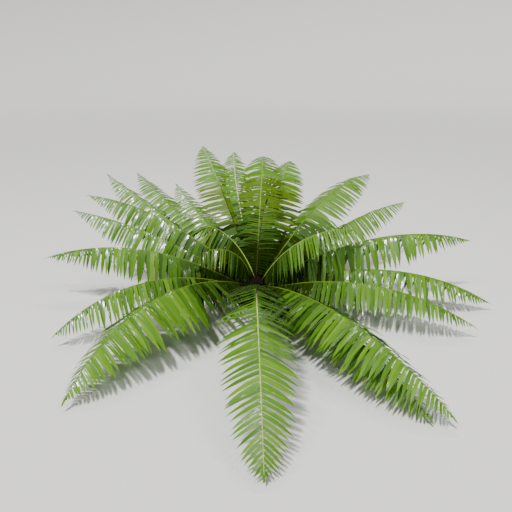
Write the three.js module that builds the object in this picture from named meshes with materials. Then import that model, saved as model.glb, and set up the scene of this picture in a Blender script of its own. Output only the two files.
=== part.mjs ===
// A hard fern of a large garden kind, rooted in the ground: a short upright stem and a
// crown of arching fronds. Each frond is a keeled rib with leaflets down both sides.
// Lengths are in millimetres and angles in degrees. +Z is up, and the origin is the
// middle of the stem's flat cut at ground level. Azimuth 270 is the front.

import * as THREE from "three";
import { OBB } from "three/addons/math/OBB.js";

const { degToRad, lerp } = THREE.MathUtils;
const UP = new THREE.Vector3(0, 0, 1);

// The stem: a root flare that narrows to a neck, and a domed crown that the fronds sit on.
const FLARE_RADIUS = 42;
const FLARE_HEIGHT = 24;
const CROWN_RADIUS = 30;
const CROWN_CENTRE = 42;
const NECK_LATITUDE = -20; // where the dome of the crown goes over into the neck
const STEM_SIDES = 24;
const FLARE_RINGS = 3;
const DOME_STEP = 14; // degrees of latitude between the rings of the dome

// A frond's foot sits on the dome at one of four latitudes, from its rim to its top.
const LOW = 6;
const MIDDLE = 34;
const HIGH = 58;
const TOP = 80;

// The rib is flat on top with a keel below, and narrows from its foot to its tip.
const RIB_FOOT = { width: 6, depth: 5.5 };
const RIB_TIP = { width: 1.8, depth: 2 };
const BEND_SHAPE = 1.25; // over 1: a frond holds its rise first and bends later
const RIB_STEPS = 60; // straight steps that its bent line is summed from
const BARE_STALK = 0.05; // share of a frond below its first leaflets
const LAST_PAIR = 0.985; // share at which the last leaflets end and the rib runs to a point

// Leaflets. The pairs stand closer together towards the tip.
const PAIR_SPACING = 23;
const CROWDING = 0.3;
const BLADE_THICKNESS = 1.2;
const WIDEST_AT = 0.4; // share of a leaflet's length
const BLADE_WIDTH = 0.8; // widest, as a share of the spacing
const FLAT_SAG = 0.2; // how far a level blade bends down under its weight
const FOLD_SAG = 0.007; // and how much further for each degree of fold
const CURL = 0.15; // how far a level blade bends towards the frond's tip
const LEAN = 16; // how far level leaflets lean towards the frond's tip
const HANGING_FOLD = 50; // leaflets folded this far hang straight down, with no lean or curl
const END_LEAN = 40; // how much further the last leaflets lean, on every frond
const END_LEAN_ONSET = 6; // the higher, the fewer leaflets do
const END_OPENING = 0.4; // share of the fold that the last leaflets open out by
const FOOT_TAPER = 0.38; // how fast the leaflets shorten towards the frond's foot
const SHORTER_TRIES = [1, 0.8, 0.6];
const LEFT = 1;
const RIGHT = -1;

// Clearances
const SEAT_GAP = 0.3;
const LEAFLET_GAP = 0.4;
const GROUND_GAP = 2;

// A frond with more bend than this is made in two pieces that meet at the bend.
const MOST_BEND = 60;
const BEND_AT = 0.45;

const FRESH_GREEN = "#5f8f2e";
const PALE_GREEN = "#7ba45a";
const OLIVE_GREEN = "#6d7a1e";
const SCALE_BROWN = "#4a3823";

// One row for each frond: name, colour, latitude of its foot on the dome, azimuth, rise at the
// foot, droop at the tip, length, sway round the plant, longest leaflet, fold of the leaflets,
// roll of the frond to its left, and how fast the leaflets shorten towards the tip.
const FRONDS = [
  ["front", FRESH_GREEN, LOW, 269.5, 38, -55, 653, 3.5, 76, 13, 3, 0.55],
  ["front_right_low", FRESH_GREEN, LOW, 303, 16, -28, 552, -2, 86, 22, 12, 0.72],
  ["front_right_high", FRESH_GREEN, MIDDLE, 297, 21, -35, 597, 16, 92, 21, 11, 0.78],
  ["right_front", FRESH_GREEN, LOW, 340, 21, -30, 523, -2, 78, 32, 8, 0.85],
  ["right_low", FRESH_GREEN, LOW, 358, 21, -32, 597, -6, 80, 46, 0, 0.9],
  ["right_broad", FRESH_GREEN, MIDDLE, 4, 31, -19, 593, 7, 84, 50, 0, 1],
  ["right_back_low", PALE_GREEN, LOW, 36, 27, -3, 598, 1, 76, 38, -4, 0.85],
  ["right_back_high", PALE_GREEN, MIDDLE, 45, 43, -7, 595, 6, 82, 24, -4, 0.85],
  ["back_right", PALE_GREEN, MIDDLE, 74, 47, -7, 605, 7, 80, 20, 2, 0.78],
  ["back_middle", PALE_GREEN, HIGH, 85, 58, -18, 610, 4, 76, 18, -2, 0.78],
  ["back_curled", PALE_GREEN, MIDDLE, 106, 46, 0, 615, -16, 62, 18, 3, 0.78],
  ["back_left", PALE_GREEN, HIGH, 114, 40, 11, 608, -9, 80, 18, -3, 0.78],
  ["left_back_inner", PALE_GREEN, HIGH, 139, 34, 22, 400, -16, 72, 24, 6, 0.85],
  ["left_back_high", PALE_GREEN, MIDDLE, 133, 21, 17, 616, -3, 78, 28, 6, 0.85],
  ["left_back_low", PALE_GREEN, LOW, 144, 25, 19, 610, -2, 78, 36, 4, 0.9],
  ["left_high", FRESH_GREEN, MIDDLE, 154, 34, -3, 583, -1, 78, 42, 3, 1.05],
  ["left_middle", FRESH_GREEN, LOW, 162, 28, 2, 560, -3, 78, 44, 3, 0.95],
  ["left_broad", FRESH_GREEN, LOW, 176, 30, -20, 550, 3, 82, 52, 0, 1],
  ["left_front", FRESH_GREEN, LOW, 204, 29, -41, 504, 6, 72, 46, -4, 0.72],
  ["front_left", FRESH_GREEN, MIDDLE, 223, 26, -43, 575, 19, 106, 26, -5, 0.9],
  ["heart_left", OLIVE_GREEN, TOP, 138, 60, -43, 300, -3, 75, 50, 0, 0.6],
  ["heart_front_left", OLIVE_GREEN, HIGH, 186, 84, -58, 200, -3, 56, 44, 0, 0.6],
  ["heart_right", PALE_GREEN, HIGH, 353, 61, -10, 297, 12, 62, 46, 4, 0.6],
  ["heart_back", OLIVE_GREEN, TOP, 78, 78, 44, 205, -8, 56, 16, 0, 0.6],
  ["under_back_right", PALE_GREEN, LOW, 58, 30, -42, 580, 3, 84, 42, 3, 0.7],
  ["under_back", PALE_GREEN, LOW, 93, 32, -44, 580, -3, 84, 42, 0, 0.7],
  ["under_back_left", PALE_GREEN, LOW, 122, 30, -42, 580, 4, 84, 42, -3, 0.7],
];

function direction(azimuth, elevation) {
  const turn = degToRad(azimuth);
  const tilt = degToRad(elevation);
  return new THREE.Vector3(
    Math.cos(turn) * Math.cos(tilt),
    Math.sin(turn) * Math.cos(tilt),
    Math.sin(tilt),
  );
}

// The line of a frond's rib, from its foot at share 0 to its tip at share 1.
class RibCurve extends THREE.Curve {
  constructor(latitude, azimuth, rise, droop, length, sway) {
    super();
    Object.assign(this, { azimuth, rise, droop, length, sway });
    // Either the end of the rib's upper side or the end of its keel sits on the dome.
    const shell = CROWN_RADIUS + SEAT_GAP;
    const dip = degToRad(latitude - rise);
    const keelReach =
      RIB_FOOT.depth * Math.sin(dip) + Math.sqrt(shell ** 2 - (RIB_FOOT.depth * Math.cos(dip)) ** 2);
    this.foot = direction(azimuth, latitude).multiplyScalar(Math.max(shell, keelReach));
    this.foot.z += CROWN_CENTRE;
  }

  azimuthAt(share) {
    return this.azimuth + this.sway * share;
  }

  getTangent(share) {
    const elevation = lerp(this.rise, this.droop, share ** BEND_SHAPE);
    return direction(this.azimuthAt(share), elevation);
  }

  getPoint(share) {
    const steps = Math.ceil(share * RIB_STEPS);
    const point = this.foot.clone();
    for (let i = 0; i < steps; i += 1) {
      const middle = ((i + 0.5) / steps) * share;
      point.addScaledVector(this.getTangent(middle), (this.length * share) / steps);
    }
    return point;
  }

  // Where the rib is, which way it runs, and its left and upper sides.
  frameAt(share) {
    const along = this.getTangent(share);
    const across = direction(this.azimuthAt(share) + 90, 0);
    const above = along.clone().cross(across);
    return { point: this.getPoint(share), along, across, above };
  }
}

// A box round some points, turned to lie along one direction and as flat as it can be
// across another, with the leaflet gap all round.
function boxRound(points, along, side) {
  const x = along.clone().normalize();
  const y = side.clone().addScaledVector(x, -side.dot(x)).normalize();
  const z = x.clone().cross(y);
  const turn = new THREE.Matrix4().makeBasis(x, y, z);
  const back = turn.clone().transpose();
  const box = new THREE.Box3().setFromPoints(points.map((p) => p.clone().applyMatrix4(back)));
  box.expandByScalar(LEAFLET_GAP / 2);
  const middle = box.getCenter(new THREE.Vector3()).applyMatrix4(turn);
  const halfSize = box.getSize(new THREE.Vector3()).multiplyScalar(0.5);
  return new OBB(middle, halfSize, new THREE.Matrix3().setFromMatrix4(turn));
}

class Frond {
  constructor([name, colour, latitude, azimuth, rise, droop, length, sway, longest, fold, roll, taper]) {
    Object.assign(this, { name, colour, longest, fold, roll, taper });
    this.bend = rise - droop;
    this.rib = new RibCurve(latitude, azimuth, rise, droop, length, sway);
    this.pairs = Math.round(length / PAIR_SPACING);
    this.shares = [0];
    for (let i = 0; i <= this.pairs; i += 1) {
      const u = i / this.pairs;
      const crowded = u * (1 + CROWDING - CROWDING * u);
      this.shares.push(lerp(BARE_STALK, LAST_PAIR, crowded));
    }
    this.leaflets = [];
  }

  // Five corners round the rib: the upper and lower edge on the left, the keel, and the
  // lower and upper edge on the right.
  corners(share) {
    const { point, across, above } = this.rib.frameAt(share);
    const half = lerp(RIB_FOOT.width, RIB_TIP.width, share) / 2;
    const keel = lerp(RIB_FOOT.depth, RIB_TIP.depth, share);
    const corner = (out, up) =>
      point.clone().addScaledVector(across, out).addScaledVector(above, up);
    return [
      corner(half, 0),
      corner(half, -BLADE_THICKNESS),
      corner(0, -keel),
      corner(-half, -BLADE_THICKNESS),
      corner(-half, 0),
    ];
  }

  // One leaflet on a rib's edge between two stations. Its root is four corners of the rib.
  leaflet(pair, side, shortening) {
    const station = pair + 1;
    const near = this.corners(this.shares[station]);
    const far = this.corners(this.shares[station + 1]);
    const root = side === LEFT ? [near[0], far[0], far[1], near[1]] : [far[4], near[4], near[3], far[3]];
    const u = (pair + 0.5) / this.pairs;
    const share = (this.shares[station] + this.shares[station + 1]) / 2;
    const { along, across, above } = this.rib.frameAt(share);

    const widest = FOOT_TAPER / (FOOT_TAPER + this.taper);
    const shape = (u / widest) ** FOOT_TAPER * ((1 - u) / (1 - widest)) ** this.taper;
    const length = this.longest * shape * shortening;
    const level = 1 - this.fold / HANGING_FOLD;
    const spread = degToRad(90 - LEAN * level - END_LEAN * u ** END_LEAN_ONSET);
    const fold = degToRad((this.fold + this.roll * side) * (1 - END_OPENING * u * u));
    const upright = above.clone().lerp(UP, (1 - level) ** 3);
    const outward = along
      .clone()
      .multiplyScalar(Math.cos(spread))
      .addScaledVector(across, Math.sin(spread) * Math.cos(fold) * side)
      .addScaledVector(upright, -Math.sin(spread) * Math.sin(fold))
      .normalize();
    const sag = FLAT_SAG + FOLD_SAG * this.fold;
    const bend = along.clone().multiplyScalar(CURL * level).addScaledVector(UP, -sag);
    const start = root[0].clone().add(root[1]).multiplyScalar(0.5);
    const pointAt = (v) =>
      start
        .clone()
        .addScaledVector(outward, length * v)
        .addScaledVector(bend, (length * v * v) / 2);

    const spacing = root[1].clone().sub(root[0]);
    const halfWidth = spacing.clone().multiplyScalar(BLADE_WIDTH / 2);
    const middle = pointAt(WIDEST_AT);
    const upward = spacing.clone().cross(outward).normalize();
    const lift = (point, least) => point.setZ(Math.max(point.z, least));
    const points = [
      ...root,
      lift(middle.clone().sub(halfWidth), GROUND_GAP),
      lift(middle.clone().addScaledVector(upward, BLADE_THICKNESS), GROUND_GAP + BLADE_THICKNESS),
      lift(middle.clone().add(halfWidth), GROUND_GAP),
      lift(pointAt(1), GROUND_GAP),
    ];
    const boxes = [
      boxRound(points.slice(0, 7), middle.clone().sub(start), spacing),
      boxRound(points.slice(4), points[7].clone().sub(middle), spacing),
    ];
    return { pair, side, points, boxes };
  }

  ribBoxes() {
    const rows = this.shares.map((share) => this.corners(share));
    return rows.slice(1).map((row, i) => {
      const run = row[2].clone().sub(rows[i][2]);
      return boxRound([...rows[i], ...row], run, row[0].clone().sub(row[4]));
    });
  }

  // The solid between two stations: the rib, its leaflets, and its two ends.
  geometry(first, last) {
    const positions = [];
    const faces = [];
    const add = (point) => positions.push(...point.toArray()) / 3 - 1;
    const rows = [];
    for (let i = first; i <= last; i += 1) {
      const cut = i === first && first > 0 ? SEAT_GAP / this.rib.length : 0;
      rows.push(this.corners(this.shares[i] + cut).map(add));
    }
    for (let i = 0; i + 1 < rows.length; i += 1) {
      const [a, b] = [rows[i], rows[i + 1]];
      const pair = first + i - 1;
      faces.push([a[4], b[4], b[0]], [a[4], b[0], a[0]]);
      faces.push([a[1], b[1], b[2]], [a[1], b[2], a[2]]);
      faces.push([a[2], b[2], b[3]], [a[2], b[3], a[3]]);
      const walls = new Map([
        [LEFT, [a[0], b[0], b[1], a[1]]],
        [RIGHT, [b[4], a[4], a[3], b[3]]],
      ]);
      for (const [side, root] of walls) {
        const leaflet = this.leaflets.find((one) => one.pair === pair && one.side === side);
        const blade = leaflet ? leaflet.points.slice(4).map(add) : [];
        faces.push(...(leaflet ? leafletFaces(root, blade) : wallFaces(root)));
      }
    }
    const [foot, end] = [rows[0], rows[rows.length - 1]];
    faces.push([foot[0], foot[1], foot[2]], [foot[0], foot[2], foot[3]], [foot[0], foot[3], foot[4]]);
    if (last === this.shares.length - 1) {
      const tip = add(this.rib.getPoint(1));
      end.forEach((corner, i) => faces.push([corner, tip, end[(i + 1) % end.length]]));
    } else {
      faces.push([end[0], end[2], end[1]], [end[0], end[3], end[2]], [end[0], end[4], end[3]]);
    }
    const geometry = new THREE.BufferGeometry();
    geometry.setAttribute("position", new THREE.Float32BufferAttribute(positions, 3));
    geometry.setIndex(faces.flat());
    return geometry;
  }

  build() {
    const group = new THREE.Group();
    const last = this.shares.length - 1;
    const middle = Math.round(last * BEND_AT);
    const pieces =
      this.bend > MOST_BEND
        ? [[`frond_${this.name}_inner`, 0, middle], [`frond_${this.name}_outer`, middle, last]]
        : [[`frond_${this.name}`, 0, last]];
    for (const [name, from, to] of pieces) {
      const material = new THREE.MeshStandardMaterial({ color: this.colour, roughness: 0.45, metalness: 0 });
      const mesh = new THREE.Mesh(this.geometry(from, to), material);
      mesh.name = name;
      group.add(mesh);
    }
    return group;
  }
}

// A thin blade with a ridge on its upper side, from its four root corners to its tip.
function leafletFaces([a, b, c, d], [edgeA, ridge, edgeB, tip]) {
  return [
    [a, b, ridge],
    [a, ridge, edgeA],
    [b, edgeB, ridge],
    [b, c, edgeB],
    [a, edgeA, d],
    [d, edgeA, c],
    [c, edgeA, edgeB],
    [edgeA, ridge, tip],
    [ridge, edgeB, tip],
    [edgeB, edgeA, tip],
  ];
}

function wallFaces([a, b, c, d]) {
  return [
    [a, b, c],
    [a, c, d],
  ];
}

// Leaflets grow from the tips inward, one pair on every frond in turn, so that the crowded
// heart of the plant is where some are short or missing.
function growLeaflets(fronds, stemBox) {
  const taken = [{ owner: null, box: stemBox }];
  for (const frond of fronds) {
    taken.push(...frond.ribBoxes().map((box) => ({ owner: frond, box })));
  }
  const isFree = (frond, boxes) =>
    !taken.some((other) => other.owner !== frond && boxes.some((box) => box.intersectsOBB(other.box)));
  const mostPairs = Math.max(...fronds.map((frond) => frond.pairs));
  for (let turn = 1; turn <= mostPairs; turn += 1) {
    for (const frond of fronds.filter((one) => one.pairs >= turn)) {
      for (const side of [LEFT, RIGHT]) {
        const tries = SHORTER_TRIES.map((share) => frond.leaflet(frond.pairs - turn, side, share));
        const leaflet = tries.find((one) => isFree(frond, one.boxes));
        if (leaflet) {
          frond.leaflets.push(leaflet);
          taken.push(...leaflet.boxes.map((box) => ({ owner: frond, box })));
        }
      }
    }
  }
}

function buildStem() {
  const profile = [new THREE.Vector2(0, 0)];
  const neck = CROWN_RADIUS * Math.cos(degToRad(NECK_LATITUDE));
  for (let i = 0; i <= FLARE_RINGS; i += 1) {
    const rise = i / FLARE_RINGS;
    profile.push(new THREE.Vector2(lerp(neck, FLARE_RADIUS, (1 - rise) ** 2), FLARE_HEIGHT * rise));
  }
  for (let latitude = NECK_LATITUDE; latitude < 90; latitude += DOME_STEP) {
    const tilt = degToRad(latitude);
    profile.push(
      new THREE.Vector2(CROWN_RADIUS * Math.cos(tilt), CROWN_CENTRE + CROWN_RADIUS * Math.sin(tilt)),
    );
  }
  profile.push(new THREE.Vector2(0, CROWN_CENTRE + CROWN_RADIUS));
  const geometry = new THREE.LatheGeometry(profile, STEM_SIDES).rotateX(Math.PI / 2);
  const material = new THREE.MeshStandardMaterial({ color: SCALE_BROWN, roughness: 0.9, metalness: 0 });
  const stem = new THREE.Mesh(geometry, material);
  stem.name = "stem";
  return stem;
}

const stem = buildStem();
const stemBox = new OBB().fromBox3(new THREE.Box3().setFromObject(stem));
const fronds = FRONDS.map((row) => new Frond(row));
growLeaflets(fronds, stemBox);

const fern = new THREE.Group();
fern.name = "hard_fern";
fern.add(stem, ...fronds.map((frond) => frond.build()));

export default fern;
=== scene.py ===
"""A hard fern dressed for its portrait: scaly stem, grooved ribs and leathery leaflets.

Lengths are in metres and angles in degrees. +Z is up, and azimuth 270 is the front.
"""

import logging
import math
from collections.abc import Mapping, Sequence
from dataclasses import dataclass, field, replace
from enum import Enum
from typing import Any

import bpy
import numpy as np
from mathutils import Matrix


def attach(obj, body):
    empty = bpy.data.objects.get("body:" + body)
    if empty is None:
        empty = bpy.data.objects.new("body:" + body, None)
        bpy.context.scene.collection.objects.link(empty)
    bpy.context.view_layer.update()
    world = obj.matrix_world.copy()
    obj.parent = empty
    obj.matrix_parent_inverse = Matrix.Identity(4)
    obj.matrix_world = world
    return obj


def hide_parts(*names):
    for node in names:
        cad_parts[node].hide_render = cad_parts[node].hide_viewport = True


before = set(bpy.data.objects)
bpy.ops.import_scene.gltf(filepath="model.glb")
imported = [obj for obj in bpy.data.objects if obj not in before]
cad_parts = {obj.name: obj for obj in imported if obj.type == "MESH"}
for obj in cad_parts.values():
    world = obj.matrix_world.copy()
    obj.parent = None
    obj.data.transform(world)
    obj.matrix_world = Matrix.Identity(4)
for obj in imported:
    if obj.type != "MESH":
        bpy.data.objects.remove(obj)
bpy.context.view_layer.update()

BODY = "root"
BLADE_MAP = "blade"
LOG = logging.getLogger("fern")

Colour = tuple[float, float, float]
Face = tuple[int, ...]
Span = tuple[float, float]
Array = np.ndarray
Material = bpy.types.Material

# The course that every frond follows, as in the solids.
BEND_SHAPE = 1.25
BARE_STALK = 0.05
LAST_PAIR = 0.985
CROWDING = 0.3
FLAT_SAG = 0.2
FOLD_SAG = 0.007
CURL = 0.15
LEAN = 16
HANGING_FOLD = 50
HANG_ONSET = 3
END_LEAN = 40
END_LEAN_ONSET = 6
END_OPENING = 0.4
FOOT_TAPER = 0.38
GROUND_GAP = 0.0012
CROWN_RADIUS = 0.030
CROWN_CENTRE = 0.042
SEAT_GAP = 0.0003
KEEL_DEPTH = 0.0055

# The ribs' width, less than the solids'.
RIB_FOOT_WIDTH = 0.0042
RIB_TIP_WIDTH = 0.0011
RIB_TAPER = 0.8


class Seat(Enum):
    """Latitude of a frond's foot on the crown's dome."""

    LOW = 6
    MIDDLE = 34
    HIGH = 58
    TOP = 80


class Side(Enum):
    """A side of a rib, seen from its foot."""

    LEFT = 1
    RIGHT = -1


@dataclass(frozen=True, eq=False)
class Signal:
    """A socket's value. Arithmetic on it adds Math nodes to its shader."""

    shader: "Shader"
    node: bpy.types.Node
    socket: bpy.types.NodeSocket

    def other(self, name: str) -> "Signal":
        """Another output of the same node, by its name."""
        return Signal(self.shader, self.node, self.shader.find(self.node.outputs, name))

    def _math(self, operation: str, *values: "Value") -> "Signal":
        """One Math node on one or two values."""
        return self.shader.add("ShaderNodeMath", {"operation": operation}, dict(enumerate(values)))

    def __add__(self, other: "Value") -> "Signal":
        """This value plus another."""
        return self._math("ADD", self, other)

    def __sub__(self, other: "Value") -> "Signal":
        """This value less another."""
        return self._math("SUBTRACT", self, other)

    def __rsub__(self, other: "Value") -> "Signal":
        """Another value less this one."""
        return self._math("SUBTRACT", other, self)

    def __mul__(self, other: "Value") -> "Signal":
        """This value times another."""
        return self._math("MULTIPLY", self, other)

    __radd__ = __add__
    __rmul__ = __mul__

    def __abs__(self) -> "Signal":
        """This value without its sign."""
        return self._math("ABSOLUTE", self)

    def sine(self) -> "Signal":
        """The sine of this value, in radians."""
        return self._math("SINE", self)

    def about(self, middle: float, spread: float) -> "Signal":
        """A value round a middle, which varies as this one does from 0 to 1."""
        return self * spread + (middle - spread / 2)


Value = Signal | float


@dataclass
class Shader:
    """One material's node tree."""

    name: str

    def __post_init__(self) -> None:
        """Starts an empty tree."""
        self.material = bpy.data.materials.new(self.name)
        self.material.use_nodes = True
        self.tree = self.material.node_tree
        self.tree.nodes.clear()
        self.output = self.tree.nodes.new("ShaderNodeOutputMaterial").inputs["Surface"]

    @staticmethod
    def find(sockets: Any, key: int | str) -> bpy.types.NodeSocket:
        """One of a node's sockets, by its place or by its name among those in use."""
        named = (socket for socket in sockets if socket.enabled and socket.name == key)
        return sockets[key] if isinstance(key, int) else next(named)

    def add(
        self, kind: str, settings: Mapping[str, Any] | None = None,
        sockets: Mapping[int | str, Any] | None = None, output: int | str = 0,
    ) -> Signal:
        """Adds one node of any kind.

        Args:
            kind: the node's type.
            settings: its own properties, which are set first.
            sockets: values or links of its input sockets.
            output: which output to give back.

        Returns:
            The value of that output.
        """
        node = self.tree.nodes.new(kind)
        for key, value in (settings or {}).items():
            setattr(node, key, value)
        for key, value in (sockets or {}).items():
            socket = self.find(node.inputs, key)
            if isinstance(value, Signal):
                self.tree.links.new(value.socket, socket)
            else:
                socket.default_value = value
        return Signal(self, node, self.find(node.outputs, output))

    def mix(self, factor: Value, first: Colour, second: Colour) -> Signal:
        """A blend of two colours. The factor is the share of the second one."""
        sockets = {"Factor": factor, "A": (*first, 1.0), "B": (*second, 1.0)}
        return self.add("ShaderNodeMix", {"data_type": "RGBA"}, sockets, "Result")

    def noise(self, scale: float, detail: float = 2.0) -> Signal:
        """Soft patches, from 0 to 1, that hold their place. The scale is patches for each metre."""
        place = self.add("ShaderNodeTexCoord", output="Object")
        return self.add("ShaderNodeTexNoise", None, {"Vector": place, "Scale": scale, "Detail": detail})

    def skin(self, height: Signal, strength: float, depth: float, sockets: Mapping[str, Any]) -> Signal:
        """A Principled surface with fine relief, of a height, a strength and a depth in metres."""
        bump = self.add("ShaderNodeBump", None, {"Strength": strength, "Distance": depth, "Height": height})
        return self.add("ShaderNodeBsdfPrincipled", None, {**sockets, "Normal": bump})

    def finish(self, surface: Signal) -> Material:
        """Puts a surface out, and gives the material back."""
        self.tree.links.new(surface.socket, self.output)
        return self.material


@dataclass(frozen=True)
class LeafFinish:
    """The leathery skin of a leaflet, in one tint. Its clearness is the share of light let through."""

    name: str
    colour: Colour
    light_patch: Colour
    glow: Colour
    roughness: float = 0.40
    coat: float = 1.0
    coat_roughness: float = 0.16
    coat_ior: float = 1.55
    ior: float = 1.3
    clearness: float = 0.32
    vein_spacing: float = 0.0012
    vein_slant: float = 0.9
    vein_paleness: float = 0.12
    vein_height: float = 0.5
    patch_paleness: float = 0.8
    gloss_contrast: float = 4
    gloss_raggedness: float = 2
    gloss_threshold: float = 2.6
    pore_height: float = 0.8

    def material(self) -> Material:
        """The skin's material.

        Returns:
            A leathery skin with slanted side veins and patches of clear gloss, over a blade that
            lets some light through.
        """
        shader = Shader(self.name)
        place = shader.add("ShaderNodeUVMap", {"uv_map": BLADE_MAP})
        across = shader.add("ShaderNodeSeparateXYZ", None, {"Vector": place}, "X")
        slanted = across.other("Y") - abs(across) * self.vein_slant
        veins = (slanted * (2 * math.pi / self.vein_spacing)).sine()
        patches = shader.noise(scale=45)
        specks = shader.noise(scale=320)
        gloss = patches * self.gloss_contrast + specks * self.gloss_raggedness - self.gloss_threshold
        pale = patches * self.patch_paleness + veins * self.vein_paleness
        height = veins * self.vein_height + shader.noise(scale=900) * self.pore_height
        sockets = {
            "Base Color": shader.mix(pale, self.colour, self.light_patch),
            "Roughness": patches.about(self.roughness, spread=0.4),
            "IOR": self.ior,
            "Coat Weight": shader.add("ShaderNodeClamp", None, {"Value": gloss}) * self.coat,
            "Coat Roughness": self.coat_roughness,
            "Coat IOR": self.coat_ior,
        }
        skin = shader.skin(height, strength=0.5, depth=0.00012, sockets=sockets)
        through = shader.add("ShaderNodeBsdfTranslucent", None, {"Color": (*self.glow, 1.0)})
        blade = shader.add("ShaderNodeMixShader", None, {0: self.clearness, 1: skin, 2: through})
        return shader.finish(blade)


@dataclass(frozen=True)
class RibFinish:
    """The smooth, faintly ridged skin of a rib."""

    name: str
    colour: Colour
    streak: Colour
    roughness: float = 0.5
    ior: float = 1.22

    def towards(self, other: "RibFinish", share: float) -> "RibFinish":
        """A finish between this one and another.

        Args:
            other: the other finish.
            share: how much of the other there is in it.

        Returns:
            The finish, named after this one and the share.
        """
        colour, streak = (
            tuple(mine + (theirs - mine) * share for mine, theirs in zip(*pair))
            for pair in ((self.colour, other.colour), (self.streak, other.streak))
        )
        return replace(self, name=f"{self.name}_{round(share * 100)}", colour=colour, streak=streak)

    def material(self) -> Material:
        """The rib's material.

        Returns:
            A dull skin with fine streaks and ridges.
        """
        shader = Shader(self.name)
        streaks = shader.noise(scale=160, detail=3)
        ridges = shader.noise(scale=1200)
        sockets = {
            "Base Color": shader.mix(streaks, self.colour, self.streak),
            "Roughness": streaks.about(self.roughness, spread=0.2),
            "IOR": self.ior,
        }
        return shader.finish(shader.skin(ridges, strength=0.4, depth=0.0003, sockets=sockets))


@dataclass(frozen=True)
class ScaleFinish:
    """Dry brown scales and old stalk bases."""

    name: str
    colour: Colour
    pale: Colour
    roughness: float
    blotch_paleness: float = 0.7
    blotch_height: float = 0.5
    fibre_paleness: float = 0.3

    def material(self) -> Material:
        """The scales' material.

        Returns:
            A dry skin with blotches and fine fibres.
        """
        shader = Shader(self.name)
        blotches = shader.noise(scale=130, detail=4)
        fibres = shader.noise(scale=2200, detail=3)
        pale = blotches * self.blotch_paleness + fibres * self.fibre_paleness
        sockets = {
            "Base Color": shader.mix(pale, self.colour, self.pale),
            "Roughness": fibres.about(self.roughness, spread=0.2),
            "IOR": 1.2,
        }
        height = blotches * self.blotch_height + fibres
        return shader.finish(shader.skin(height, strength=0.7, depth=0.0006, sockets=sockets))


class Tint(Enum):
    """The tints that leaflets are dealt into."""

    # SHADED and DIM are painted shade: near-black and dark greens that stand in for the shade round the
    # plant's heart.
    SHADED = LeafFinish(
        "leaf_shaded", (0.012, 0.030, 0.001), (0.024, 0.052, 0.001), (0.07, 0.12, 0.002), 0.8, 0, ior=1.15
    )
    DIM = LeafFinish("leaf_dim", (0.030, 0.085, 0.002), (0.050, 0.125, 0.004), (0.13, 0.28, 0.004), 0.6, 0.3)
    DEEP = LeafFinish("leaf_deep", (0.060, 0.160, 0.005), (0.092, 0.215, 0.010), (0.22, 0.50, 0.006))
    FRESH = LeafFinish("leaf_fresh", (0.090, 0.215, 0.007), (0.132, 0.285, 0.016), (0.32, 0.62, 0.010))
    BRIGHT = LeafFinish("leaf_bright", (0.125, 0.270, 0.010), (0.185, 0.350, 0.026), (0.42, 0.72, 0.015))
    PALE = LeafFinish("leaf_pale", (0.115, 0.245, 0.022), (0.175, 0.325, 0.050), (0.36, 0.62, 0.045))
    OLIVE = LeafFinish("leaf_olive", (0.080, 0.150, 0.003), (0.120, 0.200, 0.006), (0.36, 0.54, 0.004))
    AMBER = LeafFinish("leaf_amber", (0.120, 0.165, 0.003), (0.170, 0.215, 0.007), (0.44, 0.52, 0.005))


# What sets a leaflet's lower side apart from its upper one.
UNDERSIDE = {
    "colour": (0.105, 0.215, 0.022),
    "light_patch": (0.150, 0.275, 0.042),
    "roughness": 0.6,
    "coat": 0.0,
}

# The dark skin of a stalk, which further up the rib is painted shade, and the share of the rib and the
# number of steps that it fades in.
STALK_AND_SHADE = RibFinish("dark_stalk_and_shade", (0.016, 0.016, 0.004), (0.042, 0.042, 0.010))
DARK_FOOT_FADE = 0.12
FADE_STEPS = 4


class Rib(Enum):
    """The kinds of rib."""

    # A rib's dark share is partly the stalk's own dark skin and partly painted shade where the heart's shade
    # falls on it.
    STRAW = (RibFinish("rib_straw", (0.48, 0.50, 0.20), (0.36, 0.40, 0.11)), 0.46)
    GREEN = (RibFinish("rib_green", (0.08, 0.14, 0.010), (0.14, 0.21, 0.02)), 0.13)
    PALE = (RibFinish("rib_pale", (0.22, 0.33, 0.06), (0.16, 0.26, 0.035)), 0.04)
    WHITE = (RibFinish("rib_white", (0.52, 0.60, 0.36), (0.38, 0.48, 0.22)), 0.25)
    DARK = (RibFinish("rib_dark", (0.30, 0.40, 0.18), (0.20, 0.30, 0.10)), 0.58)
    BROWN = (RibFinish("rib_brown", (0.045, 0.050, 0.012), (0.070, 0.075, 0.020)), 0.75)

    def __init__(self, finish: RibFinish, stalk_and_shade_share: float) -> None:
        """Names a kind's own skin, and the share of the rib next to the stem that is dark stalk and painted
        shade.
        """
        self.finish = finish
        self.stalk_and_shade_share = stalk_and_shade_share


@dataclass(frozen=True)
class Growth:
    """How the leaflets of a kind of frond stand and how they are tinted.

    "shares" deals the tints out, and "inner" says how far darker ones, painted shade round the plant's
    heart, reach from a frond's foot.
    "fullness" is a leaflet's width as a share of the distance between two pairs, the first ones'
    less by "foot_narrowing". "gloss" is how much of a tint's clear coat they have.
    """

    slot: str
    shares: Mapping[Tint, float]
    inner: Mapping[Tint, float]
    pair_spacing: float
    fullness: float
    foot_narrowing: float = 0.0
    gloss: float = 1.0
    dealing_blur: float = 0.03
    reach_range: Span = (0.7, 1.2)

    def deal(self, count: int, rng: np.random.Generator) -> Array:
        """Deals a tint to each leaflet of one side of a frond, with darker tints near the foot as painted
        shade.

        Args:
            count: how many leaflets there are, from the foot to the tip.
            rng: the chance behind the choice.

        Returns:
            A tint for each leaflet.
        """
        tints = list(Tint)
        dealt = rng.choice([tints.index(tint) for tint in self.shares], count, p=list(self.shares.values()))
        place = (np.arange(count) + 1) / count + rng.normal(0, self.dealing_blur, count)
        # The inner tints near the foot are painted shade.
        for tint, reach in self.inner.items():
            dealt[place < reach * rng.uniform(*self.reach_range, count)] = tints.index(tint)
        return dealt


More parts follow.
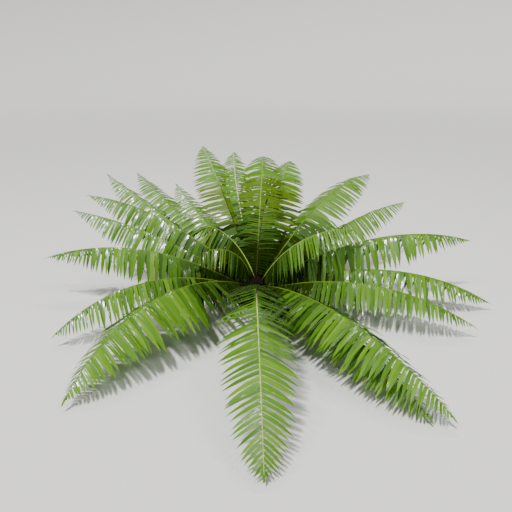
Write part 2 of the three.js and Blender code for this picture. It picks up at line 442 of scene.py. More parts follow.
class Foliage(Enum):
    """The kinds of foliage."""

    GREEN = Growth(
        "leaf_green",
        {Tint.DEEP: 0.20, Tint.FRESH: 0.50, Tint.BRIGHT: 0.30},
        {Tint.DEEP: 0.38, Tint.DIM: 0.27, Tint.SHADED: 0.18},
        pair_spacing=0.0118,
        fullness=0.97,
        foot_narrowing=0.3,
    )
    # The front frond's dark inner tints reach far out: painted shade over its foot, under the fronds above
    # it.
    FRONT = Growth(
        "leaf_green",
        {Tint.DEEP: 0.30, Tint.FRESH: 0.60, Tint.BRIGHT: 0.10},
        {Tint.DEEP: 0.58, Tint.DIM: 0.42, Tint.SHADED: 0.27},
        pair_spacing=0.0118,
        fullness=1.0,
        gloss=0.25,
    )
    PALE = Growth(
        "leaf_pale",
        {Tint.FRESH: 0.35, Tint.PALE: 0.65},
        {Tint.DEEP: 0.36, Tint.DIM: 0.27, Tint.SHADED: 0.18},
        pair_spacing=0.0108,
        fullness=0.96,
    )
    GOLDEN = Growth(
        "leaf_pale",
        {Tint.FRESH: 0.35, Tint.PALE: 0.60, Tint.AMBER: 0.05},
        {Tint.OLIVE: 0.52, Tint.DIM: 0.26, Tint.SHADED: 0.18},
        pair_spacing=0.0104,
        fullness=0.92,
        gloss=0.5,
    )
    # The heart fronds' SHADED share is painted shade, dealt at random.
    OLIVE = Growth(
        "leaf_olive",
        {Tint.SHADED: 0.15, Tint.DEEP: 0.25, Tint.OLIVE: 0.60},
        {Tint.DIM: 0.50, Tint.SHADED: 0.36},
        pair_spacing=0.0104,
        fullness=0.85,
    )


@dataclass
class Stock:
    """Points and faces that are joined into one piece. Edges sharper than its crease stay crisp."""

    points: list[Array] = field(default_factory=list)
    faces: list[Face] = field(default_factory=list)
    marks: list[int] = field(default_factory=list)
    places: list[Array] = field(default_factory=list)
    count: int = 0
    crease: float = 50

    def add(
        self, points: Array, faces: Sequence[Face],
        marks: Sequence[int] | None = None, places: Array | None = None,
    ) -> None:
        """Adds copies of one body, each with its own points.

        Args:
            points: one row of points for each copy.
            faces: the faces of one copy, as places in its row.
            marks: the finish of each face, 0 if left out.
            places: for each point of each copy, where it is on its blade.
        """
        copies, length, _ = points.shape
        for copy in range(copies):
            start = self.count + copy * length
            self.faces.extend(tuple(start + corner for corner in face) for face in faces)
        self.marks.extend((marks or [0] * len(faces)) * copies)
        self.points.append(points.reshape(-1, 3))
        self.places.append(np.zeros((copies * length, 2)) if places is None else places.reshape(-1, 2))
        self.count += copies * length

    def build(self, name: str, materials: Sequence[Material], slot: str, nodes: Sequence[str]) -> None:
        """Makes the joined mesh as a piece that rides on the plant's one body, and reports it.

        Args:
            name: the piece's name.
            materials: one for each mark.
            slot: a material slot's name; not used.
            nodes: the solids that the piece stands for.
        """
        mesh = bpy.data.meshes.new(name)
        mesh.from_pydata(np.concatenate(self.points).tolist(), [], self.faces)
        for material in materials:
            mesh.materials.append(material)
        mesh.polygons.foreach_set("material_index", self.marks)
        mesh.polygons.foreach_set("use_smooth", [True] * len(self.faces))
        corners = np.zeros(len(mesh.loops), dtype=np.int64)
        mesh.loops.foreach_get("vertex_index", corners)
        layer = mesh.uv_layers.new(name=BLADE_MAP)
        layer.data.foreach_set("uv", np.concatenate(self.places)[corners].ravel())
        mesh.update()
        mesh.set_sharp_from_angle(angle=math.radians(self.crease))
        piece = bpy.data.objects.new(name, mesh)
        bpy.context.scene.collection.objects.link(piece)
        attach(piece, BODY)
        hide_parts(*nodes)
        LOG.info("%s: %d triangles", name, sum(len(face) - 2 for face in self.faces))


UP = np.array([0.0, 0.0, 1.0])


def unit(vectors: Array) -> Array:
    """The vectors, held in the last axis, at length 1."""
    return vectors / np.linalg.norm(vectors, axis=-1, keepdims=True)


def direction(azimuth: Array, elevation: Array) -> Array:
    """Unit vectors of an azimuth, from +X towards +Y, and of an angle above the horizon."""
    turn, tilt = np.radians(azimuth), np.radians(elevation)
    return np.stack([np.cos(turn) * np.cos(tilt), np.sin(turn) * np.cos(tilt), np.sin(tilt)], axis=-1)


def ring_angles(count: int) -> Array:
    """Angles of a ring of points that starts at its lowest one, in radians."""
    return -2 * np.pi * np.arange(count) / count - np.pi / 2


def tube_faces(rings: int, ring: int) -> list[Face]:
    """Faces of a closed tube that starts with a cap and ends in one point.

    Args:
        rings: how many rings of points there are.
        ring: how many points each has. The end point comes after them all.

    Returns:
        The faces, turned outward for rings that run left, up, right as seen from the foot.
    """
    faces: list[Face] = [tuple(reversed(range(ring)))]
    for row in range(rings - 1):
        for place in range(ring):
            after = (place + 1) % ring
            start = row * ring
            faces.append((start + place, start + after, start + ring + after, start + ring + place))
    last = (rings - 1) * ring
    end = rings * ring
    faces.extend((last + place, last + (place + 1) % ring, end) for place in range(ring))
    return faces


@dataclass(frozen=True)
class FrondSizes:
    """One frond's driving sizes, the same as in the solids."""

    name: str
    foliage: Foliage
    seat: Seat
    azimuth: float
    rise: float
    droop: float
    length: float
    sway: float
    longest: float
    fold: float
    roll: float
    taper: float
    rib: Rib = Rib.GREEN


LOW, MIDDLE, HIGH, TOP = Seat
FRONDS = tuple(FrondSizes(*row) for row in (
    ("front", Foliage.FRONT, LOW, 269.5, 38, -55, 0.653, 3.5, 0.076, 13, 3, 0.55, Rib.STRAW),
    ("front_right_low", Foliage.GREEN, LOW, 303, 16, -28, 0.552, -2, 0.086, 22, 12, 0.72),
    ("front_right_high", Foliage.GREEN, MIDDLE, 297, 21, -35, 0.597, 16, 0.092, 21, 11, 0.78),
    ("right_front", Foliage.GREEN, LOW, 340, 21, -30, 0.523, -2, 0.078, 32, 8, 0.85),
    ("right_low", Foliage.GREEN, LOW, 358, 21, -32, 0.597, -6, 0.080, 46, 0, 0.9),
    ("right_broad", Foliage.GREEN, MIDDLE, 4, 31, -19, 0.593, 7, 0.084, 50, 0, 1),
    ("right_back_low", Foliage.PALE, LOW, 36, 27, -3, 0.598, 1, 0.076, 38, -4, 0.85),
    ("right_back_high", Foliage.PALE, MIDDLE, 45, 43, -7, 0.595, 6, 0.082, 24, -4, 0.85),
    ("back_right", Foliage.GOLDEN, MIDDLE, 74, 47, -7, 0.605, 7, 0.080, 20, 2, 0.78, Rib.DARK),
    ("back_middle", Foliage.GOLDEN, HIGH, 85, 58, -18, 0.610, 4, 0.076, 18, -2, 0.78, Rib.PALE),
    ("back_curled", Foliage.PALE, MIDDLE, 106, 46, 0, 0.615, -16, 0.062, 18, 3, 0.78, Rib.WHITE),
    ("back_left", Foliage.GOLDEN, HIGH, 114, 40, 11, 0.608, -9, 0.080, 18, -3, 0.78, Rib.DARK),
    ("left_back_inner", Foliage.PALE, HIGH, 139, 34, 22, 0.400, -16, 0.072, 24, 6, 0.85),
    ("left_back_high", Foliage.PALE, MIDDLE, 133, 21, 17, 0.616, -3, 0.078, 28, 6, 0.85),
    ("left_back_low", Foliage.PALE, LOW, 144, 25, 19, 0.610, -2, 0.078, 36, 4, 0.9, Rib.PALE),
    ("left_high", Foliage.GREEN, MIDDLE, 154, 34, -3, 0.583, -1, 0.078, 42, 3, 1.05),
    ("left_middle", Foliage.GREEN, LOW, 162, 28, 2, 0.560, -3, 0.078, 44, 3, 0.95),
    ("left_broad", Foliage.GREEN, LOW, 176, 30, -20, 0.550, 3, 0.082, 52, 0, 1),
    ("left_front", Foliage.GREEN, LOW, 204, 29, -41, 0.504, 6, 0.072, 46, -4, 0.72),
    ("front_left", Foliage.GREEN, MIDDLE, 223, 26, -43, 0.575, 19, 0.106, 26, -5, 0.9),
    ("heart_left", Foliage.OLIVE, TOP, 138, 60, -43, 0.300, -3, 0.075, 50, 0, 0.6, Rib.PALE),
    ("heart_front_left", Foliage.OLIVE, HIGH, 186, 84, -58, 0.200, -3, 0.056, 44, 0, 0.6),
    ("heart_right", Foliage.PALE, HIGH, 353, 61, -10, 0.297, 12, 0.062, 46, 4, 0.6, Rib.PALE),
    ("heart_back", Foliage.OLIVE, TOP, 78, 78, 44, 0.205, -8, 0.056, 16, 0, 0.6, Rib.BROWN),
    ("under_back_right", Foliage.PALE, LOW, 58, 30, -42, 0.580, 3, 0.084, 42, 3, 0.7),
    ("under_back", Foliage.PALE, LOW, 93, 32, -44, 0.580, -3, 0.084, 42, 0, 0.7),
    ("under_back_left", Foliage.PALE, LOW, 122, 30, -42, 0.580, 4, 0.084, 42, -3, 0.7),
))


@dataclass
class RibLine:
    """The line of a frond's rib, from its foot at share 0 to its tip at share 1."""

    sizes: FrondSizes
    steps: int = 400

    def __post_init__(self) -> None:
        """Walks the line once in fine steps."""
        sizes, steps = self.sizes, self.steps
        latitude = sizes.seat.value
        shell = CROWN_RADIUS + SEAT_GAP
        dip = math.radians(latitude - sizes.rise)
        keel_reach = KEEL_DEPTH * math.sin(dip) + math.sqrt(shell**2 - (KEEL_DEPTH * math.cos(dip)) ** 2)
        foot = direction(sizes.azimuth, latitude) * max(shell, keel_reach)
        foot[2] += CROWN_CENTRE
        middles = (np.arange(steps) + 0.5) / steps
        stride = sizes.length / steps
        self.shares = np.linspace(0, 1, steps + 1)
        self.walk = np.vstack([foot, foot + np.cumsum(self.along(middles) * stride, axis=0)])

    def azimuths(self, shares: Array) -> Array:
        """Which way the rib heads, as an azimuth."""
        return self.sizes.azimuth + self.sizes.sway * shares

    def along(self, shares: Array) -> Array:
        """Unit vectors along the rib."""
        elevation = self.sizes.rise + (self.sizes.droop - self.sizes.rise) * shares**BEND_SHAPE
        return direction(self.azimuths(shares), elevation)

    def across(self, shares: Array) -> Array:
        """Level unit vectors to the rib's left."""
        return direction(self.azimuths(shares) + 90, np.zeros_like(shares))

    def above(self, shares: Array) -> Array:
        """Unit vectors out of the rib's upper side."""
        return np.cross(self.along(shares), self.across(shares))

    def points(self, shares: Array) -> Array:
        """Points on the rib."""
        return np.stack([np.interp(shares, self.shares, self.walk[:, axis]) for axis in range(3)], axis=-1)


@dataclass(frozen=True)
class BladeForm:
    """The form that every leaflet shares: a channelled, wavy, sickle-shaped blade.

    Lengths along it are shares of its length. "ring" holds the places across it of the points of
    a section, those of the upper skin first.
    """

    sections: int = 13
    ring: tuple[float, ...] = (-1.0, -0.55, 0.0, 0.55, 1.0, 0.55, 0.0, -0.55)
    upper_points: int = 5
    last_section: float = 0.985
    end_crowding: float = 0.11
    sunk: float = 0.02
    thickness: float = 0.00045
    edge_thinning: float = 0.5
    slim_half_width: float = 0.002
    slim_thickness: float = 0.25
    channel: float = 0.20
    channel_shape: float = 0.55
    wave: float = 0.08
    waves: float = 2.5
    flare: float = 0.15
    flare_reach: float = 0.06
    even_to: float = 0.55
    point_shape: float = 1.7
    settled_at: float = 0.12
    turned_at: float = 0.1
    base_turn: float = 0.7
    further_turn: float = 0.6

    def lengths(self) -> Array:
        """Places of the sections along the blade, closer together near both ends."""
        even = np.linspace(0, 1, self.sections)
        crowded = even - self.end_crowding * np.sin(2 * np.pi * even)
        return -self.sunk + (self.last_section + self.sunk) * crowded

    def widths(self, lengths: Array) -> Array:
        """Half width of the blade at each section, as a share of its greatest.

        Args:
            lengths: places along the blade, from 0 at the rib to 1 at the tip.

        Returns:
            A base that flares where it joins the rib, long even sides, and a sharp tip.
        """
        inside = np.clip(lengths, 0, 1)
        taper = np.clip((inside - self.even_to) / (1 - self.even_to), 0, 1)
        body = 1 - taper**self.point_shape
        return body * (1 + self.flare * np.exp(-((inside / self.flare_reach) ** 2)))

    def faces(self) -> list[Face]:
        """Faces of one blade."""
        return tube_faces(self.sections, len(self.ring))

    def marks(self) -> list[int]:
        """Finish of each face: 0 for the upper skin and 1 for the lower one."""
        lower = [int(place >= self.upper_points - 1) for place in range(len(self.ring))]
        return [1] + lower * self.sections


@dataclass
class Frond:
    """One frond: its rib and its leaflets."""

    sizes: FrondSizes
    seed: int
    blade: BladeForm = BladeForm()
    full_length: float = 0.6
    full_leaflet: float = 0.080
    width_growth: float = 0.8
    root_out: float = 0.7
    root_down: float = 0.25
    end_narrowing: float = 0.55
    end_narrowing_onset: int = 3
    foot_share: float = 0.28
    foot_spread: float = 26.0
    shingle: float = 9.0
    end_leaf: float = 0.020
    end_leaf_width: float = 0.24
    end_leaf_sag: float = 0.2
    end_leaf_inset: float = 0.012
    rib_sections: int = 70
    rib_ring: int = 10
    rib_lift: float = 0.15
    rib_end: float = 0.004
    top_flatness: float = 0.7
    groove_depth: float = 0.38
    groove_width: float = 0.25

    def __post_init__(self) -> None:
        """Sets out the rib's line and where the pairs of leaflets join it."""
        self.line = RibLine(self.sizes)
        self.rng = np.random.default_rng(self.seed)
        self.growth = self.sizes.foliage.value
        self.level = 1 - self.sizes.fold / HANGING_FOLD
        spacing = self.growth.pair_spacing * math.sqrt(self.sizes.length / self.full_length)
        self.pairs = round(self.sizes.length / spacing)
        steps = np.linspace(0, 1, self.pairs + 1)
        crowded = steps * (1 + CROWDING - CROWDING * steps)
        self.stations = BARE_STALK + (LAST_PAIR - BARE_STALK) * crowded

    def nodes(self) -> list[str]:
        """Names of the solids that this frond replaces."""
        name = f"frond_{self.sizes.name}"
        return [node for node in (name, f"{name}_inner", f"{name}_outer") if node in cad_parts]

    def half_width(self, shares: Array) -> Array:
        """Half the rib's width."""
        return (RIB_FOOT_WIDTH + (RIB_TIP_WIDTH - RIB_FOOT_WIDTH) * shares**RIB_TAPER) / 2

    def factors(self, spread: float) -> Array:
        """A chance factor round 1 for each pair."""
        return self.rng.normal(1, spread, self.pairs)

    def turns(self, hanging: float, flat: float) -> Array:
        """A chance turn for each pair. Its spread goes from a hanging frond's to a flat one's."""
        return self.rng.normal(0, hanging + (flat - hanging) * self.level, self.pairs)

    def leaflets(self, side: Side) -> tuple[Array, Array]:
        """All leaflets on one side of the rib.

        Args:
            side: the side they grow on.

        Returns:
            The points of each leaflet, and the place of each point on its blade.
        """
        sizes = self.sizes
        u = (np.arange(self.pairs) + 0.5) / self.pairs
        shares = (self.stations[1:] + self.stations[:-1]) / 2
        along = self.line.along(shares)
        across = self.line.across(shares) * side.value
        above = self.line.above(shares)

        widest = FOOT_TAPER / (FOOT_TAPER + sizes.taper)
        shape = (u / widest) ** FOOT_TAPER * ((1 - u) / (1 - widest)) ** sizes.taper
        length = sizes.longest * shape * self.factors(0.04).clip(0.86, 1.06)
        foot = np.clip(1 - u / self.foot_share, 0, 1)
        lean = LEAN * self.level + END_LEAN * u**END_LEAN_ONSET - self.foot_spread * foot
        spread = np.radians(90 - lean + self.turns(hanging=3.5, flat=1.5))
        fold = (sizes.fold + sizes.roll * side.value) * (1 - END_OPENING * u * u)
        fold = np.radians(fold + self.turns(hanging=5, flat=2))
        hang = (1 - self.level) ** HANG_ONSET
        upright = above * (1 - hang) + UP * hang
        outward = unit(
            along * np.cos(spread)[:, None]
            + across * (np.sin(spread) * np.cos(fold))[:, None]
            - upright * (np.sin(spread) * np.sin(fold))[:, None]
        )
        sag = (FLAT_SAG + FOLD_SAG * sizes.fold) * self.factors(0.15)
        bend = along * CURL * self.level - UP * sag[:, None]
        half = self.half_width(shares)[:, None]
        root = self.line.points(shares) + across * half * self.root_out - above * half * self.root_down
        fullness = self.growth.fullness * (sizes.longest / self.full_leaflet) ** self.width_growth
        fullness = fullness * (1 - self.end_narrowing * u**self.end_narrowing_onset)
        fullness = fullness * (1 - self.growth.foot_narrowing * foot) * self.factors(0.06)
        width = np.diff(self.stations) * sizes.length * fullness
        turn = np.radians(self.shingle + self.turns(hanging=11, flat=6)) * side.value
        return self.blades(root, outward, bend, along * side.value, length, width, turn)

    def end_leaflet(self) -> tuple[Array, Array]:
        """The single leaflet that ends the frond.

        Returns:
            Its points, and the place of each point on its blade.
        """
        share = np.array([LAST_PAIR - self.end_leaf_inset])
        root = self.line.points(share)
        along = self.line.along(share)
        bend = -self.end_leaf_sag * UP[None]
        guide = -self.line.across(share)
        length = np.array([self.end_leaf])
        return self.blades(root, along, bend, guide, length, length * self.end_leaf_width, np.zeros(1))

    def blades(
        self, root: Array, outward: Array, bend: Array, guide: Array,
        length: Array, width: Array, turn: Array,
    ) -> tuple[Array, Array]:
        """Blades that start at the rib, one in each row of the arrays.

        Args:
            root: where each starts.
            outward: the way each starts in.
            bend: how that way changes towards the tip.
            guide: a direction in the blade's plane, across it, that puts its upper side up.
            length: the length of each.
            width: the greatest width of each.
            turn: how far each is turned about its own length, in radians.

        Returns:
            The points of each blade, and the place of each point on it.
        """
        blade = self.blade
        count = len(root)
        v = blade.lengths()
        reach = (length[:, None] * v)[..., None]
        curve = (length[:, None] * v * np.abs(v) / 2)[..., None]
        middle = root[:, None] + outward[:, None] * reach + bend[:, None] * curve
        run = unit(outward[:, None] + bend[:, None] * v[:, None])
        lean = unit(guide[:, None] - run * np.sum(guide[:, None] * run, axis=-1, keepdims=True))
        settle = np.clip(v / blade.settled_at, 0, 1)[:, None]
        lean = unit(guide[:, None] * (1 - settle) + lean * settle)
        normal = unit(np.cross(lean, run))
        share = np.clip(v / blade.turned_at, 0, 1) * (blade.base_turn + blade.further_turn * v)
        twist = turn[:, None, None] * share[:, None]
        lean, normal = (
            lean * np.cos(twist) + normal * np.sin(twist),
            normal * np.cos(twist) - lean * np.sin(twist),
        )

        half = (width[:, None] / 2 * blade.widths(v))[..., None]
        x = np.array(blade.ring)
        phase = self.rng.uniform(0, 2 * np.pi, count)[:, None, None]
        ripple = np.sin(blade.waves * 2 * np.pi * v[:, None] + phase + np.pi * (x > 0))
        channel = blade.channel * (np.abs(x) - blade.channel_shape * x * x)
        lift = half * (channel + blade.wave * x * x * ripple)
        lower = np.arange(len(x)) >= blade.upper_points
        skin = blade.thickness * (1 - blade.edge_thinning * x * x) * lower
        lift = lift - skin * np.clip(half / blade.slim_half_width, blade.slim_thickness, 1)
        points = middle[:, :, None] + lean[:, :, None] * (half * x)[..., None]
        points = points + normal[:, :, None] * lift[..., None]

        tip = middle[:, -1] + run[:, -1] * (length * (1 - blade.last_section))[:, None]
        points = np.concatenate([points.reshape(count, -1, 3), tip[:, None]], axis=1)
        points[..., 2] = np.maximum(points[..., 2], GROUND_GAP)

        places = np.stack([half * x, np.broadcast_to(reach, lift.shape)], axis=-1)
        ends = np.stack([np.zeros(count), length], axis=-1)
        places = np.concatenate([places.reshape(count, -1, 2), ends[:, None]], axis=1)
        return points, places

    def rib(self) -> tuple[Array, list[Face], list[int]]:
        """The rib as one closed body: round below, with a shallow groove on top.

        Returns:
            Its points, as one row, its faces, and for each face how far its finish is towards the
            dark stalk's, which is partly painted shade, in steps from 0.
        """
        shares = np.linspace(0, LAST_PAIR, self.rib_sections)
        angle = ring_angles(self.rib_ring)
        groove = 1 - self.groove_depth * np.exp(-(((np.sin(angle) - 1) / self.groove_width) ** 2))
        flat = np.where(np.sin(angle) > 0, self.top_flatness, 1.0)
        half = self.half_width(shares)[:, None]
        middle = self.line.points(shares) + self.line.above(shares) * half * self.rib_lift
        out = self.line.across(shares)[:, None] * (half * np.cos(angle))[..., None]
        up = self.line.above(shares)[:, None] * (half * np.sin(angle) * groove * flat)[..., None]
        points = (middle[:, None] + out + up).reshape(-1, 3)
        tip = self.line.points(np.array([LAST_PAIR + self.rib_end]))
        points = np.concatenate([points, tip])
        points[:, 2] = np.maximum(points[:, 2], GROUND_GAP)
        # The dark foot is partly the stalk's own skin and partly painted shade.
        beyond = (shares - self.sizes.rib.stalk_and_shade_share) / DARK_FOOT_FADE
        rows = np.append(np.rint((1 - np.clip(beyond + 0.5, 0, 1)) * FADE_STEPS), 0)
        marks = [FADE_STEPS] + [int(mark) for mark in rows[1:] for _ in range(self.rib_ring)]
        return points[None], tube_faces(self.rib_sections, self.rib_ring), marks


@dataclass
class Foliages:
    """All fronds, joined into a piece for each tint of a kind of foliage and for each kind of rib."""

    first_seed: int = 40

    def __post_init__(self) -> None:
        """Grows the fronds, and starts the run of chance that deals out their tints."""
        self.rng = np.random.default_rng(self.first_seed)
        self.fronds = [Frond(sizes, seed) for seed, sizes in enumerate(FRONDS, self.first_seed + 1)]
        self.skins: dict[tuple[Tint, float], list[Material]] = {}

    def build(self) -> None:
        """Makes, dresses and places every piece of the fronds."""
        for foliage in Foliage:
            self.leaflets(foliage)
        for kind in Rib:
            self.ribs(kind)

    def leaflets(self, foliage: Foliage) -> None:
        """Builds the leaflets of one kind of foliage.

        Args:
            foliage: the kind.
        """
        fronds = [frond for frond in self.fronds if frond.sizes.foliage is foliage]
        growth = foliage.value
        tints = list(Tint)
        stocks = [Stock() for _ in tints]
        for frond in fronds:
            for points, places in (*(frond.leaflets(side) for side in Side), frond.end_leaflet()):
                dealt = growth.deal(len(points), self.rng)
                for number in np.unique(dealt):
                    own = dealt == number
                    stocks[number].add(points[own], frond.blade.faces(), frond.blade.marks(), places[own])
        nodes = [node for frond in fronds for node in frond.nodes()]
        for tint, stock in zip(tints, stocks):
            if stock.count == 0:
                continue
            dress = (tint, growth.gloss)
            if dress not in self.skins:
                above = replace(tint.value, coat=tint.value.coat * growth.gloss)
                below = LeafFinish(f"{tint.value.name}_under", glow=tint.value.glow, **UNDERSIDE)
                self.skins[dress] = [above.material(), below.material()]
            name = f"leaflets_{foliage.name.lower()}_{tint.name.lower()}"
            stock.build(name, self.skins[dress], growth.slot, nodes)

    def ribs(self, kind: Rib) -> None:
        """Builds the ribs of one kind, each with its fading stalk, partly painted shade.

        Args:
            kind: the kind.
        """
        fronds = [frond for frond in self.fronds if frond.sizes.rib is kind]
        stock = Stock(crease=80)
        for frond in fronds:
            stock.add(*frond.rib())
        finishes = [kind.finish.towards(STALK_AND_SHADE, step / FADE_STEPS) for step in range(FADE_STEPS + 1)]
        materials = [finish.material() for finish in finishes]
        nodes = [node for frond in fronds for node in frond.nodes()]
        stock.build(f"ribs_{kind.name.lower()}", materials, "leaf_green", nodes)


@dataclass
class Stem:
    """The short stem: a rough core, stubs of old stalks round it, and papery scales.

    "ridges" holds the waves of the core's skin, each by its phase round it and up it.
    """

    seed: int = 7
    # The core and scales are near black: partly the stem's own dark brown, partly painted shade of the
    # plant's heart.
    bark: ScaleFinish = ScaleFinish("old_stalk", (0.003, 0.003, 0.002), (0.009, 0.008, 0.005), 0.9)
    paper: ScaleFinish = ScaleFinish("papery_scale", (0.005, 0.003, 0.002), (0.018, 0.012, 0.006), 0.85)
    flare_radius: float = 0.042
    flare_height: float = 0.024
    neck_angle: float = -20.0
    core_sides: int = 96
    core_rows: int = 44
    pole_gap: float = 0.0004
    pole_radius: float = 0.0006
    relief: float = 0.0011
    ridges: tuple[tuple[int, int], ...] = ((13, 210), (21, -330), (34, 90))
    stubs: int = 70
    stub_turn: float = 137.5
    stub_length: Span = (0.008, 0.019)
    stub_half_width: Span = (0.0024, 0.0034)
    stub_rings: int = 6
    stub_ring: int = 8
    scale_length: Span = (0.007, 0.015)
    scale_half_width: Span = (0.0009, 0.0015)
    scale_half_thickness: float = 0.00013
    scale_rings: tuple[float, ...] = (0.0, 0.25, 0.55, 0.82)
    ring_widths: tuple[float, ...] = (0.7, 1.0, 0.75, 0.35)
    dome_scales: int = 420
    stalk_scales: int = 22
    scaly_share: float = 0.085

    def __post_init__(self) -> None:
        """Starts the stem's own run of chance."""
        self.rng = np.random.default_rng(self.seed)

    def radius_at(self, height: Array) -> Array:
        """The core's radius, as in the solids.

        Args:
            height: heights above the ground.

        Returns:
            The radius at each height, of the flare below the neck and of the dome above it.
        """
        tilt = math.radians(self.neck_angle)
        neck = CROWN_RADIUS * math.cos(tilt)
        flare = neck + (self.flare_radius - neck) * (1 - np.clip(height / self.flare_height, 0, 1)) ** 2
        lift = np.clip((height - CROWN_CENTRE) / CROWN_RADIUS, -1, 1)
        dome = CROWN_RADIUS * np.sqrt(1 - lift * lift)
        low = CROWN_CENTRE + CROWN_RADIUS * math.sin(tilt)
        return np.where(height < low, flare, dome)

    def core(self) -> tuple[Array, list[Face]]:
        """The core as one closed body with a ridged, pitted skin.

        Returns:
            Its points, as one row, and its faces.
        """
        top = CROWN_CENTRE + CROWN_RADIUS
        share = np.linspace(0, 1, self.core_rows)
        height = (top - self.pole_gap) * np.sin(share * np.pi / 2) ** 1.2
        turn = 2 * np.pi * np.arange(self.core_sides) / self.core_sides
        grid_turn, grid_height = np.meshgrid(turn, height)
        rough = sum(np.sin(around * grid_turn + up * grid_height) for around, up in self.ridges)
        radius = self.radius_at(grid_height) + self.relief * rough / len(self.ridges) * (grid_height > 0)
        radius = np.maximum(radius, self.pole_radius)
        x, y = radius * np.cos(grid_turn), radius * np.sin(grid_turn)
        points = np.stack([x, y, grid_height], axis=-1).reshape(-1, 3)
        points = np.concatenate([points, [[0, 0, top]]])
        return points[None], tube_faces(self.core_rows, self.core_sides)

    def old_stalks(self) -> tuple[Array, list[Face]]:
        """Broken stubs of old stalks, in one rising spiral.

        Returns:
            The points of each stub, and the faces of one.
        """
        rng, count = self.rng, self.stubs
        number = np.arange(count)
        rise = number / count
        azimuth = number * self.stub_turn + rng.normal(0, 4, count)
        height = 0.006 + 0.044 * rise
        out = direction(azimuth, np.zeros(count))
        heading = direction(azimuth, 28 + 34 * rise + rng.normal(0, 6, count))
        side = direction(azimuth + 90, np.zeros(count))
        above = np.cross(heading, side)
        length = rng.uniform(*self.stub_length, count)[:, None]
        half = rng.uniform(*self.stub_half_width, count)[:, None]
        foot = out * (self.radius_at(height) - 0.004)[:, None] + UP * height[:, None]
        share = np.linspace(0, 1, self.stub_rings)
        middle = foot[:, None] + heading[:, None] * (length * share)[..., None]
        middle = middle + UP * (length * share**2 * 0.25)[..., None]
        angle = ring_angles(self.stub_ring)
        half = (half * (1 - 0.35 * share))[..., None]
        across = side[:, None, None] * (half * np.cos(angle))[..., None]
        upward = above[:, None, None] * (half * np.sin(angle) * 0.75)[..., None]
        points = (middle[:, :, None] + across + upward).reshape(count, -1, 3)
        end = middle[:, -1] - heading * 0.0012
        return np.concatenate([points, end[:, None]], axis=1), tube_faces(self.stub_rings, self.stub_ring)

    def scale_rows(self, root: Array, heading: Array, outward: Array) -> Array:
        """Papery scales, one for each root.

        Args:
            root: where each scale starts.
            heading: the way it points.
            outward: the way its back faces.

        Returns:
            The points of each scale, ring after ring, and its tip last.
        """
        rng, count = self.rng, len(root)
        length = rng.uniform(*self.scale_length, count)
        half = rng.uniform(*self.scale_half_width, count)
        side = unit(np.cross(heading, outward))
        back = unit(np.cross(side, heading))
        share = np.array(self.scale_rings)
        width = np.array(self.ring_widths)
        lift = rng.uniform(-0.05, 0.45, count)
        middle = root[:, None] + heading[:, None] * (length[:, None] * share)[..., None]
        middle = middle + back[:, None] * (length[:, None] * share**2 * lift[:, None])[..., None]
        across = side[:, None] * (half[:, None] * width)[..., None]
        thin = back[:, None] * self.scale_half_thickness
        rings = np.stack([middle + across, middle - thin, middle - across, middle + thin], axis=2)
        tip = root + heading * length[:, None] + back * (length * lift)[:, None]
        return np.concatenate([rings.reshape(count, -1, 3), tip[:, None]], axis=1)

    def papery_scales(self) -> Array:
        """All scales: over the crown's dome, and up the feet of the fronds' stalks.

        Returns:
            The points of each scale.
        """
        rng = self.rng
        latitude = np.degrees(np.arcsin(rng.uniform(-0.1, 1, self.dome_scales)))
        azimuth = rng.uniform(0, 360, self.dome_scales)
        outward = direction(azimuth, latitude)
        heading = unit(direction(azimuth, latitude + 62) + 0.3 * direction(azimuth + 90, 0 * latitude))
        rows = [self.scale_rows(outward * CROWN_RADIUS + UP * CROWN_CENTRE, heading, outward)]
        for sizes in FRONDS:
            line = RibLine(sizes)
            share = rng.uniform(0, self.scaly_share, self.stalk_scales) ** 1.3
            turn = rng.uniform(0, 2 * np.pi, self.stalk_scales)[:, None]
            out = line.across(share) * np.cos(turn) + line.above(share) * np.sin(turn)
            root = line.points(share) + out * RIB_FOOT_WIDTH * 0.45 - line.above(share) * 0.002
            rows.append(self.scale_rows(root, unit(line.along(share) + out * 0.25), out))
        return np.concatenate(rows)

    def build(self) -> None:
        """Makes, dresses and places the stem's pieces."""
        core = Stock(crease=60)
        core.add(*self.core())
        core.add(*self.old_stalks())
        core.build("stem_core", [self.bark.material()], "stem_scales", ["stem"])
        scales = Stock(crease=30)
        scales.add(self.papery_scales(), tube_faces(len(self.scale_rings), 4))
        scales.build("scales", [self.paper.material()], "stem_scales", ["stem"])


class Source(Enum):
    """The kinds of light, by Blender's names. A sun lights all the floor alike."""

    LAMP = "AREA"
    SUN = "SUN"


@dataclass(frozen=True)
class Light:
    """A soft light that looks at the plant. A lamp's size is in metres, and a sun's in radians."""

    name: str
    kind: Source
    place: tuple[float, float, float]
    power: float
    size: tuple[float, ...]
    aim_height: float = 0.12

    def build(self) -> None:
        """Hangs the light up, unseen by the camera."""
        data = bpy.data.lights.new(self.name, self.kind.value)
        data.energy = self.power
        if self.kind is Source.SUN:
            data.angle = self.size[0]
        else:
            data.shape = "RECTANGLE"
            data.size, data.size_y = self.size
        light = bpy.data.objects.new(self.name, data)
        light.location = self.place
        aim = np.array([0, 0, self.aim_height]) - np.array(self.place)
        pan = math.atan2(aim[1], aim[0])
        light.rotation_euler = (math.acos(-aim[2] / float(np.linalg.norm(aim))), 0, pan - math.pi / 2)
        light.visible_camera = False
        bpy.context.scene.collection.objects.link(light)


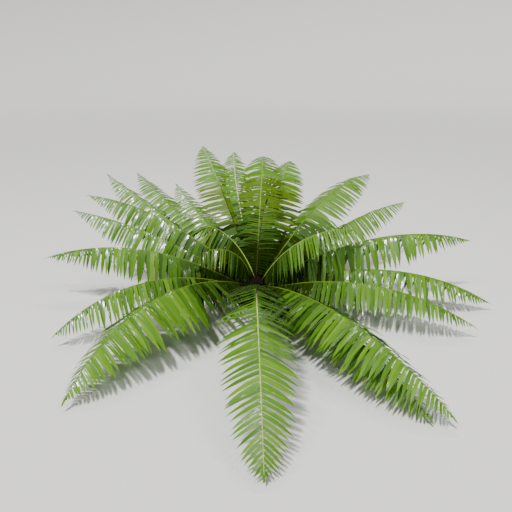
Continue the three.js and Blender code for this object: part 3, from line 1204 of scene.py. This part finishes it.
@dataclass
class Studio:
    """A pale floor that curves up far off, soft lights, and the camera at the photograph's angle."""

    camera_distance: float = 1.13
    camera_height: float = 0.56
    camera_pitch: float = 20.7
    camera_reach: float = 60.0
    lens: float = 33.0
    floor_radius: float = 9.0
    floor_sides: int = 96
    sweep_radius: float = 5.0
    sweep_step: int = 6

    def floor(self) -> None:
        """The pale floor that the plant stands on, with a rim that curves up far from it."""
        steps = self.floor_sides
        tilts = np.radians(np.arange(0, 91, self.sweep_step))
        radii = self.floor_radius + self.sweep_radius * np.sin(tilts)
        heights = self.sweep_radius * (1 - np.cos(tilts))
        turn = 2 * np.pi * np.arange(steps) / steps
        flat = np.stack([np.cos(turn), np.sin(turn)], axis=-1)
        rings = [
            np.column_stack([flat * radius, np.full(steps, height)])
            for radius, height in zip(radii, heights)
        ]
        walls = tube_faces(len(rings), steps)[1:-steps]
        faces = [tuple(range(steps)), *((a, d, c, b) for a, b, c, d in walls)]
        mesh = bpy.data.meshes.new("floor")
        mesh.from_pydata(np.concatenate(rings).tolist(), [], faces)
        mesh.polygons.foreach_set("use_smooth", [True] * len(faces))
        shader = Shader("floor_paint")
        skin = {"Base Color": (0.66, 0.65, 0.62, 1.0), "Roughness": 0.85}
        mesh.materials.append(shader.finish(shader.add("ShaderNodeBsdfPrincipled", None, skin)))
        floor = bpy.data.objects.new("floor", mesh)
        bpy.context.scene.collection.objects.link(floor)

    def lights(self) -> None:
        """A broad, high sun from the front, a lamp on each side, one behind, and a pale room."""
        Light("key", Source.SUN, (-0.6, -0.9, 2.4), 4.4, (0.08,)).build()
        Light("left", Source.LAMP, (-1.1, -1.1, 1.95), 15, (0.5, 0.16)).build()
        Light("right", Source.LAMP, (1.1, -1.1, 1.95), 15, (0.5, 0.16)).build()
        Light("back", Source.LAMP, (0.0, 0.8, 2.1), 14, (0.9, 0.15)).build()
        world = bpy.data.worlds.new("room")
        world.use_nodes = True
        back = world.node_tree.nodes["Background"]
        back.inputs["Color"].default_value = (0.92, 0.95, 1.0, 1.0)
        back.inputs["Strength"].default_value = 0.24
        bpy.context.scene.world = world

    def camera(self) -> None:
        """The camera, level across and looking down at the plant."""
        data = bpy.data.cameras.new("camera")
        data.sensor_width = 36.0
        data.lens = self.lens
        data.clip_end = self.camera_reach
        camera = bpy.data.objects.new("camera", data)
        camera.location = (0, -self.camera_distance, self.camera_height)
        camera.rotation_euler = (math.radians(90 - self.camera_pitch), 0, 0)
        bpy.context.scene.collection.objects.link(camera)
        bpy.context.scene.camera = camera

    def build(self) -> None:
        """Sets up the whole studio."""
        self.floor()
        self.lights()
        self.camera()


def main() -> None:
    """Builds the plant and the studio, one class after another."""
    logging.basicConfig(level=logging.INFO, format="%(message)s")
    Studio().build()
    Stem().build()
    Foliages().build()


if __name__ == "__main__":
    main()
